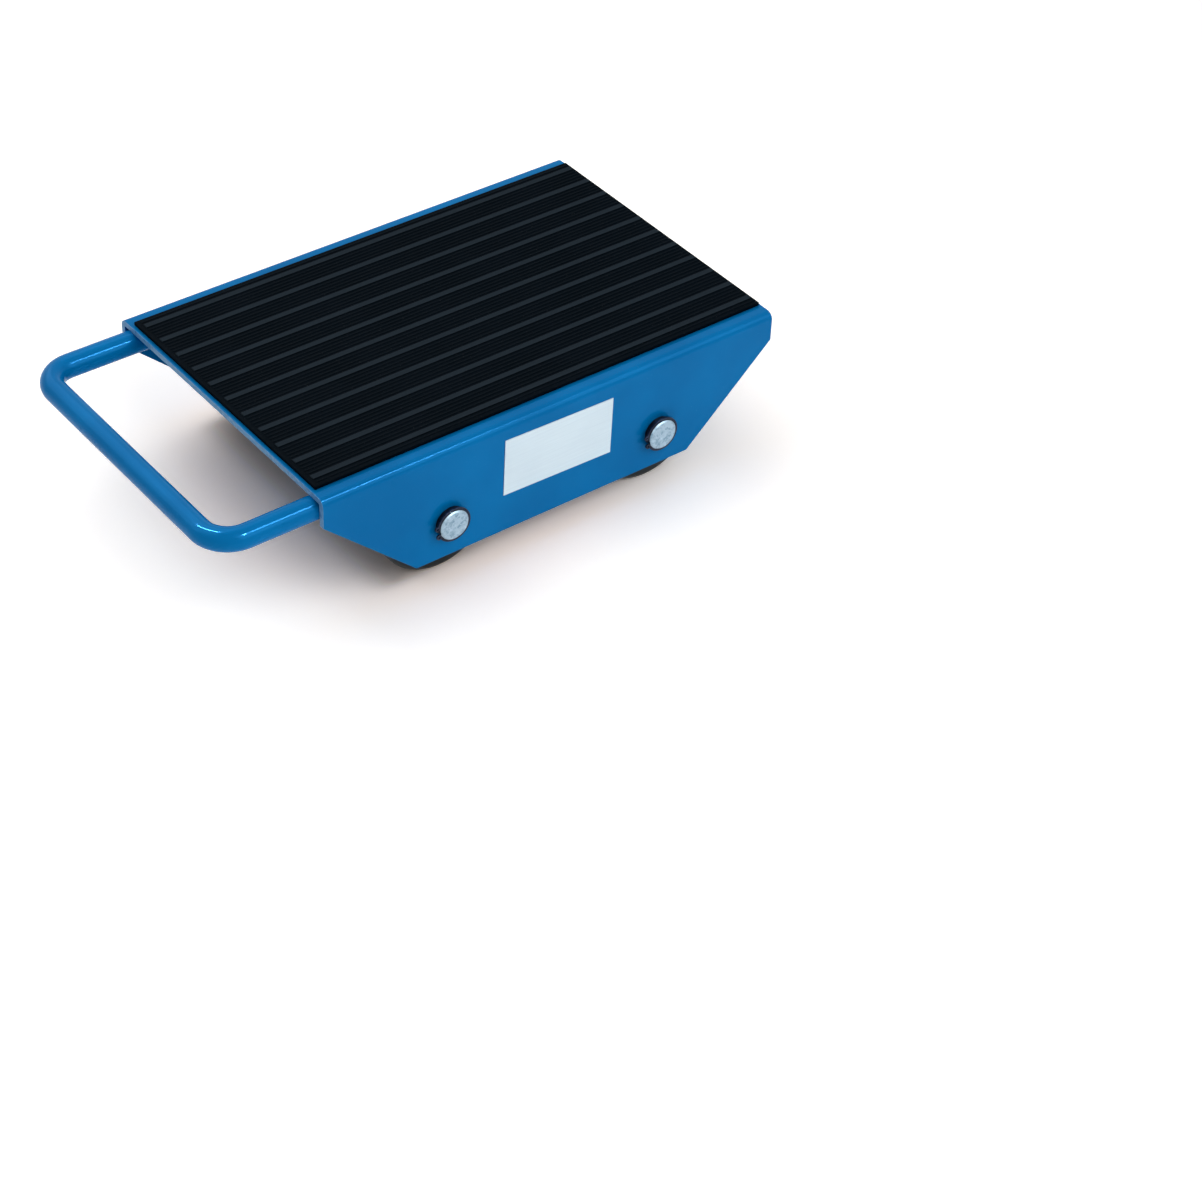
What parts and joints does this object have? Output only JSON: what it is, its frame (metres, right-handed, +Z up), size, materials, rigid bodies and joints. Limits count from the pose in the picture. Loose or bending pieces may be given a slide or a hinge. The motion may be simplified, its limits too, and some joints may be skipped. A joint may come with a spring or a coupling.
{
  "type": "machine skate",
  "caption": "Low steel machine skate: folded deck channel with a ribbed rubber mat, a round-bar pull handle and free nylon rollers on fixed axles.",
  "frame": {"origin": "middle of the plan view on the floor, under the middle of the overall box", "axes": "+X along the rolling direction away from the handle, +Y to the side without the label plate, +Z up"},
  "size_m": [0.401, 0.234, 0.097],
  "materials": {
    "blue_paint": "glossy powder coat",
    "painted_weld": "glossy powder coat over weld beads",
    "mat_rubber": "ribbed, satin",
    "black_nylon": "turned nylon, satin",
    "bearing_steel": "ground",
    "zinc_plated_steel": "zinc plated, mottled",
    "blackened_steel": "phosphated spring steel",
    "seal_rubber": "matt",
    "cage_brass": "machined",
    "bare_label": "bare satin plate"
  },
  "bodies": {
    "chassis": {"deck_channel": "blue_paint", "centre_web": "blue_paint", "stiffener_left": "blue_paint", "stiffener_right": "blue_paint", "pull_handle": "blue_paint", "deck_mat": "mat_rubber", "label_plate": "bare_label", "web_welds": "painted_weld", "stiffener_welds": "painted_weld", "handle_welds": "painted_weld", "front_axle": "zinc_plated_steel", "rear_axle": "zinc_plated_steel", "axle_circlips": "blackened_steel", "front_inner_rings": "bearing_steel", "front_inner_spacers": "zinc_plated_steel", "front_web_spacers": "zinc_plated_steel", "front_flange_spacers": "zinc_plated_steel", "rear_inner_rings": "bearing_steel", "rear_inner_spacers": "zinc_plated_steel", "rear_web_spacers": "zinc_plated_steel", "rear_flange_spacers": "zinc_plated_steel"},
    "front_left_roller": {"front_left_roller": "black_nylon", "front_left_outer_rings": "bearing_steel", "front_left_seals": "seal_rubber"},
    "front_left_ball_set": {"front_left_balls": "bearing_steel", "front_left_cages": "cage_brass"},
    "front_right_roller": {"front_right_roller": "black_nylon", "front_right_outer_rings": "bearing_steel", "front_right_seals": "seal_rubber"},
    "front_right_ball_set": {"front_right_balls": "bearing_steel", "front_right_cages": "cage_brass"},
    "rear_left_roller": {"rear_left_roller": "black_nylon", "rear_left_outer_rings": "bearing_steel", "rear_left_seals": "seal_rubber"},
    "rear_left_ball_set": {"rear_left_balls": "bearing_steel", "rear_left_cages": "cage_brass"},
    "rear_right_roller": {"rear_right_roller": "black_nylon", "rear_right_outer_rings": "bearing_steel", "rear_right_seals": "seal_rubber"},
    "rear_right_ball_set": {"rear_right_balls": "bearing_steel", "rear_right_cages": "cage_brass"}
  },
  "joints": [
    {"name": "front_left_roll", "type": "hinge", "parent": "chassis", "child": "front_left_roller", "pos_m": [-0.043, 0, 0.041], "axis": [0, 1, 0], "continuous": true},
    {"name": "front_left_ball_turn", "type": "hinge", "parent": "chassis", "child": "front_left_ball_set", "pos_m": [-0.043, 0, 0.041], "axis": [0, 1, 0], "continuous": true},
    {"name": "front_right_roll", "type": "hinge", "parent": "chassis", "child": "front_right_roller", "pos_m": [-0.043, 0, 0.041], "axis": [0, 1, 0], "continuous": true},
    {"name": "front_right_ball_turn", "type": "hinge", "parent": "chassis", "child": "front_right_ball_set", "pos_m": [-0.043, 0, 0.041], "axis": [0, 1, 0], "continuous": true},
    {"name": "rear_left_roll", "type": "hinge", "parent": "chassis", "child": "rear_left_roller", "pos_m": [0.113, 0, 0.041], "axis": [0, 1, 0], "continuous": true},
    {"name": "rear_left_ball_turn", "type": "hinge", "parent": "chassis", "child": "rear_left_ball_set", "pos_m": [0.113, 0, 0.041], "axis": [0, 1, 0], "continuous": true},
    {"name": "rear_right_roll", "type": "hinge", "parent": "chassis", "child": "rear_right_roller", "pos_m": [0.113, 0, 0.041], "axis": [0, 1, 0], "continuous": true},
    {"name": "rear_right_ball_turn", "type": "hinge", "parent": "chassis", "child": "rear_right_ball_set", "pos_m": [0.113, 0, 0.041], "axis": [0, 1, 0], "continuous": true}
  ],
  "couplings": [
    {"joint": "front_left_ball_turn", "follows": "front_left_roll", "ratio": 0.6185},
    {"joint": "front_right_ball_turn", "follows": "front_right_roll", "ratio": 0.6185},
    {"joint": "rear_left_ball_turn", "follows": "rear_left_roll", "ratio": 0.6185},
    {"joint": "rear_right_ball_turn", "follows": "rear_right_roll", "ratio": 0.6185}
  ]
}
